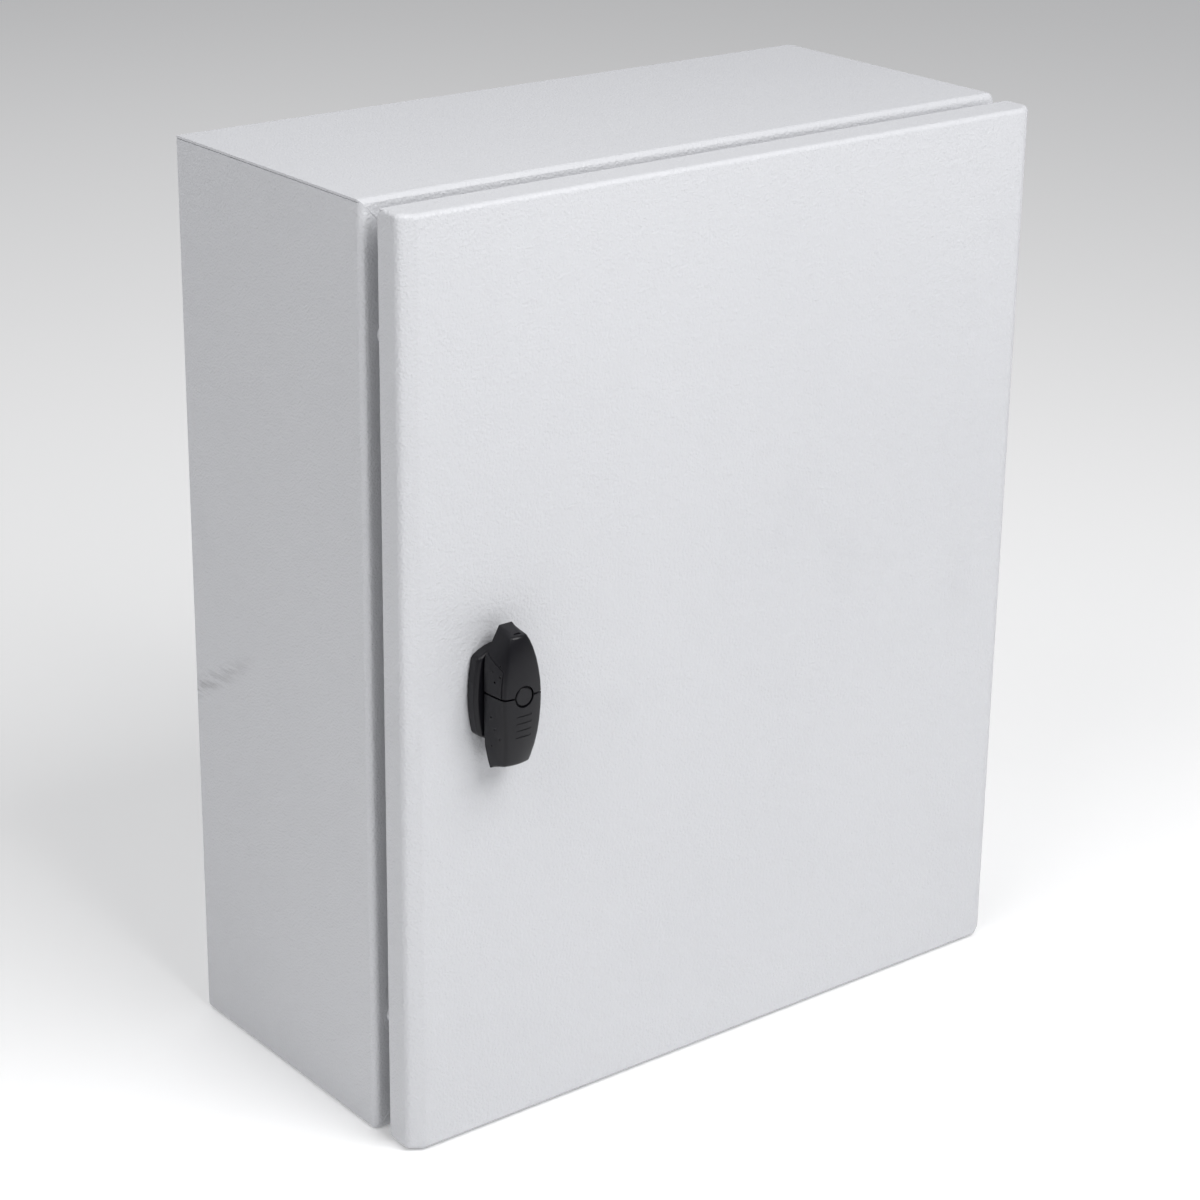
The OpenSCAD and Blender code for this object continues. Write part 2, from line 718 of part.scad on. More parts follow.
// The grips bulge at their middle and taper to narrow ends
module grip(dir, len, shoulder, end_w) {
    z0 = dir * grip_slit / 2;
    shift = dir > 0 ? 0 : -0.2;
    difference() {
        hull() {
            grip_station(z0 + shift, handle_w / 2, grip_back, grip_front, 2.5);
            grip_station(dir * len * 0.5 + shift, handle_w / 2 - 0.6, grip_back, grip_front - 1.2, 2.5);
            grip_station(dir * len * 0.72 + shift, handle_w / 2 - shoulder, grip_back, grip_front - 2.6, 2.5);
            grip_station(dir * (len - 3) + shift, end_w, grip_back, grip_front - 5, 2);
            grip_station(dir * (len - 0.2) + shift, end_w - 1, grip_back, grip_front - 9, 1.5);
        }
        out_cyl(lock_px, lock_z, grip_back - 1, grip_front + 1, post_d);
    }
}
module upper_grip() { color(plastic_black) grip(1, handle_up, 3.8, 6); }
module lower_grip() { color(plastic_black) grip(-1, handle_down, 1, 12.4); }

module hub_cap() {
    color(plastic_black) out_cyl(lock_px, lock_z, cap_seat, grip_front - 0.4, hub_cap_d);
}

module spindle() {
    color("silver") difference() {
        union() {
            out_cyl(lock_px, lock_z, cam_front, spindle_end, spindle_d);
            // square end for the cam, just short of its rear face
            translate([lock_px - square_a / 2, -cam_front - 1, lock_z - square_a / 2])
                cube([square_a, cam_t + 0.8, square_a]);
        }
        out_cyl(lock_px, lock_z, cam_back - 1, cam_front + 12, cam_screw_d);
    }
}

module cam() {
    color(zinc) difference() {
        union() {
            out_cyl(lock_px, lock_z, cam_back, cam_front, cam_w + 4);
            translate([lock_px - cam_w / 2, -cam_front, lock_z - cam_reach + cam_w / 2])
                cube([cam_w, cam_t, cam_reach - cam_w / 2]);
            out_cyl(lock_px, lock_z - cam_reach + cam_w / 2, cam_back, cam_front, cam_w);
        }
        side = square_a + 2 * cam_square_clear;
        translate([lock_px - side / 2, -cam_front - 1, lock_z - side / 2])
            cube([side, cam_t + 2, side]);
    }
}

module cam_washer() {
    color(zinc)
        out_washer(lock_px, lock_z, cam_back - cam_washer_t, cam_washer_t, 12, cam_screw_d + 0.3);
}

module cam_screw() {
    color(zinc) {
        head_t = 3;
        translate([lock_px, -(cam_back - cam_washer_t - head_t), lock_z]) rotate([90, 0, 0])
            cylinder(h = head_t, d = 7 / cos(30), $fn = 6);
        out_cyl(lock_px, lock_z, cam_back - cam_washer_t, cam_front + 10, cam_screw_d);
    }
}

body_wrap();
rear_panel();
spare_collar_upper();
spare_collar_lower();
plate_studs();
mounting_plate();
plate_washers();
plate_nuts();
earth_stud();
earth_nuts();
gland_seal();
gland_plate();
gland_studs();
gland_nuts();
hinge_block_upper();
hinge_block_lower();
hinge_nuts();
hinge_pin_upper();
hinge_pin_lower();
door_panel();
door_seal();
stiffener_left();
stiffener_right();
stiffener_studs();
stiffener_nuts();
door_leaf_upper();
door_leaf_lower();
leaf_studs();
leaf_nuts();
door_earth_stud();
door_earth_nuts();
escutcheon_seal();
escutcheon();
lock_barrel();
barrel_nut();
handle_core();
upper_grip();
lower_grip();
hub_cap();
spindle();
cam();
cam_washer();
cam_screw();
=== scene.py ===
import json
import math
import bmesh
import bpy
from mathutils import Euler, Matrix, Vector


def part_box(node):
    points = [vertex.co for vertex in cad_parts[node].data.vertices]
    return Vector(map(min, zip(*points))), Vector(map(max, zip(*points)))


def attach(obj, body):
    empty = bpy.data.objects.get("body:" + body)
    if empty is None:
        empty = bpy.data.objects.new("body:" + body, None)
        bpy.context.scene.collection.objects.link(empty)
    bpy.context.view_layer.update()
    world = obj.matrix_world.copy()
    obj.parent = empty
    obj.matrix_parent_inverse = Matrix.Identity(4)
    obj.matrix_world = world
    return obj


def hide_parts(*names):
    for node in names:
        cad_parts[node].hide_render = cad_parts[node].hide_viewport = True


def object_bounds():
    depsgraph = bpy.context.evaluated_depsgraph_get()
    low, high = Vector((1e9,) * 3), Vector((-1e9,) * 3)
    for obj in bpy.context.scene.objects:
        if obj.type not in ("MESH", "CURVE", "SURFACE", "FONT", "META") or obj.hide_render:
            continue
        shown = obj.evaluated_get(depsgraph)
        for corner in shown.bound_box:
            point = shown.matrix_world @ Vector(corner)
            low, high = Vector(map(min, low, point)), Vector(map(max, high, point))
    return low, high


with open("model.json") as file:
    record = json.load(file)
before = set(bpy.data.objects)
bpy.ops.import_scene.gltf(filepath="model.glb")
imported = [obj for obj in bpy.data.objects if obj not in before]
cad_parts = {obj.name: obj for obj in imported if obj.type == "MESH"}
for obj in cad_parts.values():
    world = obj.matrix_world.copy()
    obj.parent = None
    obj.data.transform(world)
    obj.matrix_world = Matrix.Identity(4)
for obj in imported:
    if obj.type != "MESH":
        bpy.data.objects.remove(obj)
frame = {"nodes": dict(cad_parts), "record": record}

scene = bpy.context.scene
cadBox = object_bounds()
nodes = frame["nodes"]
bodies = frame["record"]["behaviour"]["bodies"]
bodyOf = {node: body for body, members in bodies.items() for node in members}
slotOf = {part["node"]: part["material_slot"] for part in frame["record"]["subparts"]}
mm = 0.001
past = 1 * mm                                  # how far a cutting tool passes a surface


camera = {
    "place": (-1.1755, -1.5930, 0.7171),
    "azimuth": -38.29, "elevation": 20.72, "roll": 0.72,   # degrees
    "lens": 91.5, "sensor": 36.0, "shift": -0.033,
}


def addCamera(cfg):
    turn, lift = math.radians(cfg["azimuth"]), math.radians(cfg["elevation"])
    back = Vector((math.sin(turn) * math.cos(lift), -math.cos(turn) * math.cos(lift), math.sin(lift)))
    bpy.ops.object.camera_add(location=cfg["place"])
    made = bpy.context.object
    made.name = "studioCamera"
    facing = (-back).to_track_quat("-Z", "Y")
    made.rotation_mode = "QUATERNION"
    made.rotation_quaternion = facing @ Euler((0, 0, math.radians(cfg["roll"]))).to_quaternion()
    made.data.lens = cfg["lens"]
    made.data.sensor_width = cfg["sensor"]
    made.data.shift_y = cfg["shift"]
    made.data.clip_start, made.data.clip_end = 0.05, 100
    scene.camera = made


addCamera(camera)
print("camera set")


class Signal:                                  # one output of a node, with arithmetic
    def __init__(self, finish, socket):
        self.finish, self.socket = finish, socket

    def calc(self, operation, *values):
        return self.finish.node("ShaderNodeMath", {"operation": operation}, dict(enumerate(values)))

    def __add__(self, other):
        return self.calc("ADD", self, other)

    def __radd__(self, other):                 # called for number + signal
        return self.calc("ADD", other, self)

    def __sub__(self, other):
        return self.calc("SUBTRACT", self, other)

    def __rsub__(self, other):                 # called for number - signal
        return self.calc("SUBTRACT", other, self)

    def __mul__(self, other):
        return self.calc("MULTIPLY", self, other)

    def __truediv__(self, other):
        return self.calc("DIVIDE", self, other)


class Finish:                                  # one material and its nodes
    def __init__(self, name, **constants):
        self.material = bpy.data.materials.new(name)
        self.material.use_nodes = True
        self.tree = self.material.node_tree
        self.shader = self.tree.nodes["Principled BSDF"]
        for socket, value in constants.items():
            self.shader.inputs[socket.replace("_", " ")].default_value = value
        self.place = self.node("ShaderNodeTexCoord", {}, {}, "Object")

    def node(self, kind, settings, inputs, output=0):
        made = self.tree.nodes.new(kind)
        for key, value in settings.items():
            if key == "stops":
                self.setStops(made.color_ramp, value)
            else:
                setattr(made, key, value)
        for key, value in inputs.items():
            if isinstance(value, Signal):
                self.tree.links.new(value.socket, made.inputs[key])
            else:
                made.inputs[key].default_value = value
        return Signal(self, made.outputs[output])

    def setStops(self, ramp, stops):
        while len(ramp.elements) < len(stops):
            ramp.elements.new(1)
        for element, (position, level) in zip(ramp.elements, stops):
            element.position = position
            element.color = (level, level, level, 1)

    def noise(self, scale, detail=2.0, roughness=0.5, place=None):
        inputs = {"Vector": place or self.place, "Scale": scale, "Detail": detail, "Roughness": roughness}
        return self.node("ShaderNodeTexNoise", {}, inputs, "Fac")

    def ramp(self, value, *stops):
        return self.node("ShaderNodeValToRGB", {"stops": stops}, {"Fac": value}, "Color")

    def stretch(self, scale):
        return self.node("ShaderNodeMapping", {}, {"Vector": self.place, "Scale": scale})

    def blend(self, factor, first, second):
        return self.node("ShaderNodeMix", {"data_type": "RGBA"}, {0: factor, 6: first, 7: second}, 2)

    def bump(self, height, distance, under=None):
        inputs = {"Height": height, "Distance": distance, "Strength": 1.0}
        if under:
            inputs["Normal"] = under
        return self.node("ShaderNodeBump", {}, inputs)

    def axes(self, place):
        split = self.node("ShaderNodeSeparateXYZ", {}, {"Vector": place})
        return [Signal(self, output) for output in split.socket.node.outputs]

    def feed(self, socket, signal):
        self.tree.links.new(signal.socket, self.shader.inputs[socket])


paint = {
    "base": (0.625, 0.630, 0.652, 1), "shade": (0.585, 0.590, 0.613, 1), "smudge": (0.40, 0.40, 0.42, 1),
    "roughness": 0.40, "cloudScale": 3.2, "cloudShare": 0.55, "grainShare": 0.3,
    "touchScale": 11, "touchShare": 0.10,      # faint handling marks
    "peelScale": 620, "peelHeight": 0.6 * mm, "waveScale": 7, "waveHeight": 0.6 * mm,
    "rubHeight": -65 * mm, "rubSlope": 0.6, "rubLength": 75 * mm, "rubHalf": 10 * mm, "rubShare": 0.9,
    "rubStreaks": (1, 60, 420),
}


def powderCoat(cfg, name, rubbed=False):
    finish = Finish(name, Roughness=0.42, Specular_IOR_Level=0.45)
    cloud = finish.noise(cfg["cloudScale"], 3.0)
    grain = finish.noise(cfg["peelScale"] * 1.6, 2.0)
    tone = finish.ramp(cloud, (0.32, 0.0), (0.72, 1.0))
    mottle = tone * cfg["cloudShare"] + grain * cfg["grainShare"]
    colour = finish.blend(mottle, cfg["base"], cfg["shade"])
    touch = finish.ramp(finish.noise(cfg["touchScale"], 5.0, 0.62), (0.60, 0.0), (0.80, 1.0))
    colour = finish.blend(touch * cfg["touchShare"], colour, cfg["smudge"])
    if rubbed:
        colour = finish.blend(rubMask(finish, cfg), colour, cfg["smudge"])
    finish.feed("Base Color", colour)
    finish.feed("Roughness", cfg["roughness"] + cloud * 0.07 + touch * 0.05)
    wave = finish.bump(finish.noise(cfg["waveScale"], 1.0), cfg["waveHeight"])
    finish.feed("Normal", finish.bump(finish.noise(cfg["peelScale"], 1.5), cfg["peelHeight"], wave))
    return finish.material


def rubMask(finish, cfg):                      # a scuff that rises from the rear edge of the left wall
    wide, deep, high = finish.axes(finish.place)
    onLeft = wide.calc("LESS_THAN", wide, cadBox[0].x + 0.5 * mm)
    along = (deep + cfg["rubLength"]) / cfg["rubLength"]
    across = (high - cfg["rubHeight"] + deep * cfg["rubSlope"]) / cfg["rubHalf"]
    core = 1 - across.calc("ABSOLUTE", across)
    streak = finish.noise(1.0, 4.0, 0.6, finish.stretch(cfg["rubStreaks"]))
    soft = finish.ramp(core, (0.0, 0.0), (0.9, 1.0)) * finish.ramp(along, (0.0, 0.0), (0.75, 1.0))
    return soft * onLeft * finish.ramp(streak, (0.38, 0.0), (0.60, 1.0)) * cfg["rubShare"]


plastic = {
    "base": (0.0040, 0.0038, 0.0056, 1), "worn": (0.008, 0.0077, 0.0105, 1), "roughness": 0.24,
    "grainScale": 1700, "grainHeight": 0.04 * mm, "cloudScale": 55,
}


def blackPlastic(cfg):
    finish = Finish("blackPlastic", Roughness=0.32, Specular_IOR_Level=0.28)
    grain = finish.noise(cfg["grainScale"], 2.0)
    cloud = finish.noise(cfg["cloudScale"], 3.0)
    finish.feed("Base Color", finish.blend(grain * 0.5 + cloud * 0.3, cfg["base"], cfg["worn"]))
    finish.feed("Roughness", cfg["roughness"] + cloud * 0.09 + grain * 0.05)
    finish.feed("Normal", finish.bump(grain, cfg["grainHeight"]))
    return finish.material


sponge = {
    "pore": (0.012, 0.012, 0.012, 1), "skin": (0.045, 0.045, 0.048, 1),
    "cellScale": 900, "cellHeight": 0.3 * mm,
}


def foam(cfg):
    finish = Finish("closedCellFoam", Roughness=0.95, Specular_IOR_Level=0.2)
    inputs = {"Vector": finish.place, "Scale": cfg["cellScale"]}
    cells = finish.node("ShaderNodeTexVoronoi", {}, inputs, "Distance")
    finish.feed("Base Color", finish.blend(cells, cfg["pore"], cfg["skin"]))
    finish.feed("Normal", finish.bump(cells, cfg["cellHeight"]))
    return finish.material


zincSheet = {
    "dark": (0.50, 0.52, 0.54, 1), "light": (0.70, 0.72, 0.74, 1), "roughness": 0.30,
    "spangleScale": 120, "fineScale": 420, "fineHeight": 0.03 * mm,
}


def galvanised(cfg):
    finish = Finish("galvanisedSheet", Metallic=0.9, Roughness=0.4)
    inputs = {"Vector": finish.place, "Scale": cfg["spangleScale"]}
    cell = finish.node("ShaderNodeTexVoronoi", {}, inputs, "Color")
    spangle = finish.node("ShaderNodeSeparateColor", {}, {"Color": cell}, 0)
    fine = finish.noise(cfg["fineScale"], 3.0)
    finish.feed("Base Color", finish.blend(spangle * 0.7 + fine * 0.3, cfg["dark"], cfg["light"]))
    finish.feed("Roughness", cfg["roughness"] + spangle * 0.16 + fine * 0.08)
    finish.feed("Normal", finish.bump(fine, cfg["fineHeight"]))
    return finish.material


metal = {                                      # dark tone, light tone, roughness, grain scale, grain stretch
    "zincPlate": ((0.52, 0.54, 0.56, 1), (0.70, 0.72, 0.74, 1), 0.30, 500, (1, 1, 1)),
    "dieCastZinc": ((0.42, 0.43, 0.45, 1), (0.58, 0.59, 0.61, 1), 0.45, 900, (1, 1, 1)),
    "groundSteel": ((0.55, 0.55, 0.55, 1), (0.72, 0.72, 0.71, 1), 0.24, 700, (1, 1, 0.1)),
    "brassStuds": ((0.60, 0.42, 0.17, 1), (0.80, 0.60, 0.28, 1), 0.28, 600, (1, 1, 1)),
    "cloudScale": 70, "grainHeight": 0.02 * mm,
}


def bareMetal(name):
    dark, light, rough, scale, stretch = metal[name]
    finish = Finish(name, Metallic=1.0, Roughness=rough)
    grain = finish.noise(scale, 4.0, 0.6, finish.stretch(stretch))
    cloud = finish.noise(metal["cloudScale"], 2.0)
    finish.feed("Base Color", finish.blend(grain * 0.6 + cloud * 0.4, dark, light))
    finish.feed("Roughness", rough - 0.06 + grain * 0.12 + cloud * 0.08)
    finish.feed("Normal", finish.bump(grain, metal["grainHeight"]))
    return finish.material


finishes = {
    "grey_powder_coat": powderCoat(paint, "greyPowderCoat"),
    "black_foam": foam(sponge),
    "galvanised_sheet": galvanised(zincSheet),
    "zinc_plated_steel": bareMetal("zincPlate"),
    "die_cast_zinc": bareMetal("dieCastZinc"),
    "stainless_steel": bareMetal("groundSteel"),
    "brass": bareMetal("brassStuds"),
    "black_plastic": blackPlastic(plastic),
}
leftWallCoat = powderCoat(paint, "greyPowderCoatRubbed", rubbed=True)
for name, obj in nodes.items():
    obj.data.materials.clear()
    obj.data.materials.append(finishes[slotOf[name]])
print("finishes made")


def deselect():
    if bpy.context.object and bpy.context.object.mode != "OBJECT":
        bpy.ops.object.mode_set(mode="OBJECT")
    bpy.ops.object.select_all(action="DESELECT")


def activate(obj):
    deselect()
    obj.select_set(True)
    bpy.context.view_layer.objects.active = obj


def startEdit(obj, mode="VERT"):
    activate(obj)
    bpy.ops.object.mode_set(mode="EDIT")
    bpy.ops.mesh.select_mode(type=mode)
    bpy.ops.mesh.select_all(action="DESELECT")


def pick(test, kind="VERT"):                   # select the vertices, edges or faces that pass the test
    bpy.ops.mesh.select_mode(type=kind)
    bpy.ops.mesh.select_all(action="DESELECT")
    mesh = bmesh.from_edit_mesh(bpy.context.object.data)
    for part in {"VERT": mesh.verts, "EDGE": mesh.edges, "FACE": mesh.faces}[kind]:
        if test(part):
            part.select_set(True)
    mesh.select_flush_mode()
    bmesh.update_edit_mesh(bpy.context.object.data)


def endEdit():
    bpy.ops.object.mode_set(mode="OBJECT")


def modify(obj, kind, **settings):             # add a modifier and apply it
    activate(obj)
    made = obj.modifiers.new(kind.lower(), kind)
    for key, value in settings.items():
        setattr(made, key, value)
    bpy.ops.object.modifier_apply(modifier=made.name)


def cut(obj, *tools):                          # take the tools' solids away from obj
    for tool in tools:
        modify(obj, "BOOLEAN", operation="DIFFERENCE", solver="EXACT", object=tool)
        bpy.data.objects.remove(tool)


def softEdges(obj, width, segments=2, angle=35):
    modify(obj, "BEVEL", width=width, segments=segments, limit_method="ANGLE",
           angle_limit=math.radians(angle), harden_normals=False, use_clamp_overlap=True)


def smooth(obj, angle=38):
    activate(obj)
    bpy.ops.object.shade_smooth_by_angle(angle=math.radians(angle), keep_sharp_edges=False)
    modify(obj, "WEIGHTED_NORMAL", weight=80, keep_sharp=True)   # keeps the large flat faces flat


def settle(obj, name, body, slot, material=None):   # names, finishes and mounts a piece
    activate(obj)
    bpy.ops.object.transform_apply(location=True, rotation=True, scale=True)
    obj.name = name
    obj.data.name = name
    obj.data.materials.clear()
    obj.data.materials.append(material or finishes[slot])
    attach(obj, body)
    return obj


def block(low, high):
    deselect()
    low, high = Vector(low), Vector(high)
    bpy.ops.mesh.primitive_cube_add(size=1, location=(low + high) / 2, scale=high - low)
    bpy.ops.object.transform_apply(location=True, rotation=True, scale=True)
    return bpy.context.object


def panel(centre, width, height, turn=(0, 0, 0)):   # a flat rectangle
    deselect()
    bpy.ops.mesh.primitive_plane_add(size=1)
    bpy.ops.transform.resize(value=(width, height, 1))
    bpy.ops.object.transform_apply(location=True, rotation=True, scale=True)
    made = bpy.context.object
    made.rotation_euler = turn
    made.location = centre
    bpy.ops.object.transform_apply(location=True, rotation=True, scale=True)
    return made


def post(centre, radius, depth, vertices=64, axis="Y"):
    deselect()
    turn = {"X": (0, math.pi / 2, 0), "Y": (math.pi / 2, 0, 0), "Z": (0, 0, 0)}[axis]
    bpy.ops.mesh.primitive_cylinder_add(vertices=vertices, radius=radius, depth=depth,
                                        location=centre, rotation=turn)
    bpy.ops.object.transform_apply(location=True, rotation=True, scale=True)
    return bpy.context.object


def join(first, *others):
    activate(first)
    for other in others:
        other.select_set(True)
    bpy.ops.object.join()
    return bpy.context.object


def arcSteps(radius, start, end, count):       # (across, along) of points on an arc about its centre
    angles = [math.radians(start + (end - start) * i / count) for i in range(count + 1)]
    return [(radius * math.cos(angle), radius * math.sin(angle)) for angle in angles]


# A rectangle of sheet in the front view, drawn out along -Y through the profile's
# steps; each step is (inset from the side, distance out from the rear face).
def foldedRing(width, height, cornerRadius, roundCorner, profile):
    inset, out = profile[0]
    obj = panel((0, -out, 0), width - 2 * inset, height - 2 * inset, (math.pi / 2, 0, 0))
    startEdit(obj)
    pick(lambda v: roundCorner(v.co))
    bpy.ops.mesh.bevel(offset=cornerRadius, segments=7, affect="VERTICES")
    bpy.ops.mesh.select_all(action="SELECT")
    bpy.ops.mesh.delete(type="ONLY_FACE")
    bpy.ops.mesh.select_mode(type="EDGE")
    bpy.ops.mesh.select_all(action="SELECT")
    for nextInset, nextOut in profile[1:]:
        bpy.ops.mesh.extrude_region_move(TRANSFORM_OT_translate={"value": (0, out - nextOut, 0)})
        wider = (width - 2 * nextInset) / (width - 2 * inset)
        taller = (height - 2 * nextInset) / (height - 2 * inset)
        bpy.ops.transform.resize(value=(wider, 1, taller), center_override=(0, 0, 0))
        inset, out = nextInset, nextOut
    bpy.ops.mesh.select_all(action="SELECT")
    bpy.ops.mesh.normals_make_consistent(inside=False)
    endEdit()
    wall = max(obj.data.polygons, key=lambda face: face.area)
    if wall.normal.dot(Vector((wall.center.x, 0, wall.center.z))) < 0:
        startEdit(obj)
        bpy.ops.mesh.select_all(action="SELECT")
        bpy.ops.mesh.flip_normals()
        endEdit()
    return obj


shell = {
    "sheet": 1.5 * mm, "corner": 4.6 * mm, "bend": 5.0 * mm, "flange": 25 * mm, "lip": 12 * mm,
    "fold": 2.2 * mm, "depth": 200 * mm, "edge": 0.25 * mm,
    "seamDrop": 1.55 * mm, "seamWidth": 0.35 * mm, "seamCut": 0.9 * mm, "seamStop": 2 * mm,
    "glandWidth": 340 * mm, "glandDepth": 90 * mm,
    "hingeHole": 4.25 * mm, "holeInset": 16 * mm, "holeDrop": 80 * mm,
}
wrapLow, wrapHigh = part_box("body_wrap")


def cabinetShell(cfg):
    width, height = wrapHigh.x - wrapLow.x, wrapHigh.z - wrapLow.z
    front, bend, fold, sheet = -wrapLow.y, cfg["bend"], cfg["fold"], cfg["sheet"]
    profile = [(0, 0), (0, cfg["depth"] - bend)]
    profile += [(bend + across, cfg["depth"] - bend + along)
                for across, along in arcSteps(bend, 180, 90, 6)[1:]]
    profile += [(cfg["flange"] - fold + across, cfg["depth"] + fold + along)
                for across, along in arcSteps(fold, -90, 0, 4)]
    profile += [(cfg["flange"] + fold + across, front - fold + along)
                for across, along in arcSteps(fold, 180, 90, 4)]
    profile.append((cfg["flange"] + cfg["lip"], front))
    obj = foldedRing(width, height, cfg["corner"], lambda co: co.x > 0 or co.z < 0, profile)
    modify(obj, "SOLIDIFY", thickness=sheet, offset=-1, use_even_offset=True)
    seamTop = wrapHigh.z - cfg["seamDrop"]
    seam = block((wrapLow.x - past, -cfg["depth"] + cfg["seamStop"], seamTop - cfg["seamWidth"]),
                 (wrapLow.x + cfg["seamCut"], past, seamTop))
    middle = -cfg["depth"] / 2
    entry = block((-cfg["glandWidth"] / 2, middle - cfg["glandDepth"] / 2, wrapLow.z - 2 * sheet),
                  (cfg["glandWidth"] / 2, middle + cfg["glandDepth"] / 2, wrapLow.z + 2 * sheet))
    holeX, holeZ = wrapHigh.x - cfg["holeInset"], wrapHigh.z - cfg["holeDrop"]
    holes = [post((side * holeX, -cfg["depth"], level * holeZ), cfg["hingeHole"], 6 * sheet)
             for side in (-1, 1) for level in (-1, 1)]
    cut(obj, seam, entry, *holes)
    softEdges(obj, cfg["edge"], 2, 50)
    smooth(obj, 40)
    return settle(obj, "cabinetShell", "cabinet", "grey_powder_coat", leftWallCoat)


shellPiece = cabinetShell(shell)
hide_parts("body_wrap")

weld = {"radius": 0.9 * mm, "proud": 0.35 * mm, "start": 4.2 * mm}


def mitreWelds(cfg):                           # ground weld beads across the corners of the front flange
    run = (shell["flange"] - shell["fold"] - cfg["start"]) * math.sqrt(2)
    middle = (shell["flange"] - shell["fold"] + cfg["start"]) / 2
    beads = []
    for side in (-1, 1):
        for level in (-1, 1):
            deselect()
            spot = (side * (wrapHigh.x - middle), -shell["depth"], level * (wrapHigh.z - middle))
            bpy.ops.mesh.primitive_uv_sphere_add(segments=24, ring_count=12, radius=1, location=spot,
                                                 rotation=(0, side * level * math.pi / 4, 0),
                                                 scale=(cfg["radius"], cfg["proud"], run / 2))
            bpy.ops.object.transform_apply(location=True, rotation=True, scale=True)
            beads.append(bpy.context.object)
    obj = join(*beads)
    smooth(obj, 80)
    return settle(obj, "mitreWelds", "cabinet", "grey_powder_coat")


mitreWelds(weld)
print("body made")


pan = {
    "sheet": 1.5 * mm, "facetWidth": 10 * mm, "facetDepth": 6.5 * mm, "sideBend": 5 * mm,
    "edgeBend": 3.2 * mm, "rearCorner": 6 * mm, "lockHole": 11.2 * mm, "edge": 0.25 * mm,
    "halfTurn": 28,                            # half the angle between a facet and the face, in degrees
}
doorLow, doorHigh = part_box("door_panel")
coreLow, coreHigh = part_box("handle_core")
lockAxis = (coreLow + coreHigh) / 2


def doorPan(cfg):
    middle = (doorLow.y + doorHigh.y) / 2
    obj = panel((0, middle, doorLow.z), doorHigh.x - doorLow.x, doorHigh.y - doorLow.y)
    startEdit(obj)
    pick(lambda v: v.co.y < middle)            # front corners of the plan, cut back to the facets
    bpy.ops.mesh.bevel(offset=cfg["facetWidth"], segments=1, affect="VERTICES")
    pick(lambda v: doorLow.y + past < v.co.y < middle)
    bpy.ops.transform.translate(value=(0, cfg["facetDepth"] - cfg["facetWidth"], 0))
    bendRun = cfg["sideBend"] * math.tan(math.radians(cfg["halfTurn"]))
    bpy.ops.mesh.bevel(offset=bendRun, segments=6, affect="VERTICES")
    bpy.ops.mesh.select_all(action="SELECT")
    bpy.ops.mesh.extrude_region_move(TRANSFORM_OT_translate={"value": (0, 0, doorHigh.z - doorLow.z)})
    bpy.ops.mesh.select_all(action="SELECT")
    bpy.ops.mesh.normals_make_consistent(inside=False)
    pick(lambda f: f.normal.y > 0.9, "FACE")
    bpy.ops.mesh.delete(type="FACE")
    nearEnd = doorHigh.z - 0.1 * mm
    pick(lambda e: all(abs(v.co.z) > nearEnd for v in e.verts)
         and e.verts[0].co.z * e.verts[1].co.z > 0 and not e.is_boundary, "EDGE")
    bpy.ops.mesh.bevel(offset=cfg["edgeBend"], segments=6, affect="EDGES", offset_type="OFFSET")
    endEdit()
    modify(obj, "SOLIDIFY", thickness=cfg["sheet"], offset=-1, use_even_offset=True)
    cutters = [cornerCutter(cfg, side, level) for side in (-1, 1) for level in (-1, 1)]
    cut(obj, *cutters, post((lockAxis.x, doorLow.y, lockAxis.z), cfg["lockHole"], 20 * mm))
    softEdges(obj, cfg["edge"], 2, 50)
    smooth(obj, 40)
    return settle(obj, "doorPan", "door", "grey_powder_coat")


def cornerCutter(cfg, side, level):            # rounds the rear corner of a side flange
    radius, across = cfg["rearCorner"], cfg["sheet"] + 0.1 * mm
    spot = Vector((side * doorHigh.x, doorHigh.y, level * doorHigh.z))
    low = spot - Vector((across, radius, radius if level > 0 else past))
    high = spot + Vector((across, past, past if level > 0 else radius))
    tool = block(low, high)
    cut(tool, post(spot - Vector((0, radius, level * radius)), radius, 20 * mm, 64, "X"))
    return tool


doorPiece = doorPan(pan)
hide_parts("door_panel")

bead = {"width": 10 * mm, "corner": 6 * mm, "crown": 3.2 * mm}
sealLow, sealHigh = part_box("door_seal")


def foamBead(cfg):                             # poured foam: square feet and a soft crown
    width, height = sealHigh.x - sealLow.x, sealHigh.z - sealLow.z
    back, front = -sealHigh.y, -sealLow.y
    half, crown = cfg["width"] / 2, cfg["crown"]
    profile = [(0, front), (0, back + crown)]
    for angle in range(165, 0, -15):
        across, along = math.cos(math.radians(angle)), math.sin(math.radians(angle))
        profile.append((half + half * across, back + crown - crown * along))
    profile += [(2 * half, back + crown), (2 * half, front)]
    obj = foldedRing(width, height, cfg["corner"], lambda co: True, profile)
    startEdit(obj, "EDGE")
    pick(lambda e: e.is_boundary, "EDGE")
    bpy.ops.mesh.bridge_edge_loops()
    bpy.ops.mesh.select_all(action="SELECT")
    bpy.ops.mesh.normals_make_consistent(inside=False)
    endEdit()
    smooth(obj, 45)
    return settle(obj, "foamBead", "door", "black_foam")


foamPiece = foamBead(bead)
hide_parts("door_seal")
print("door made")


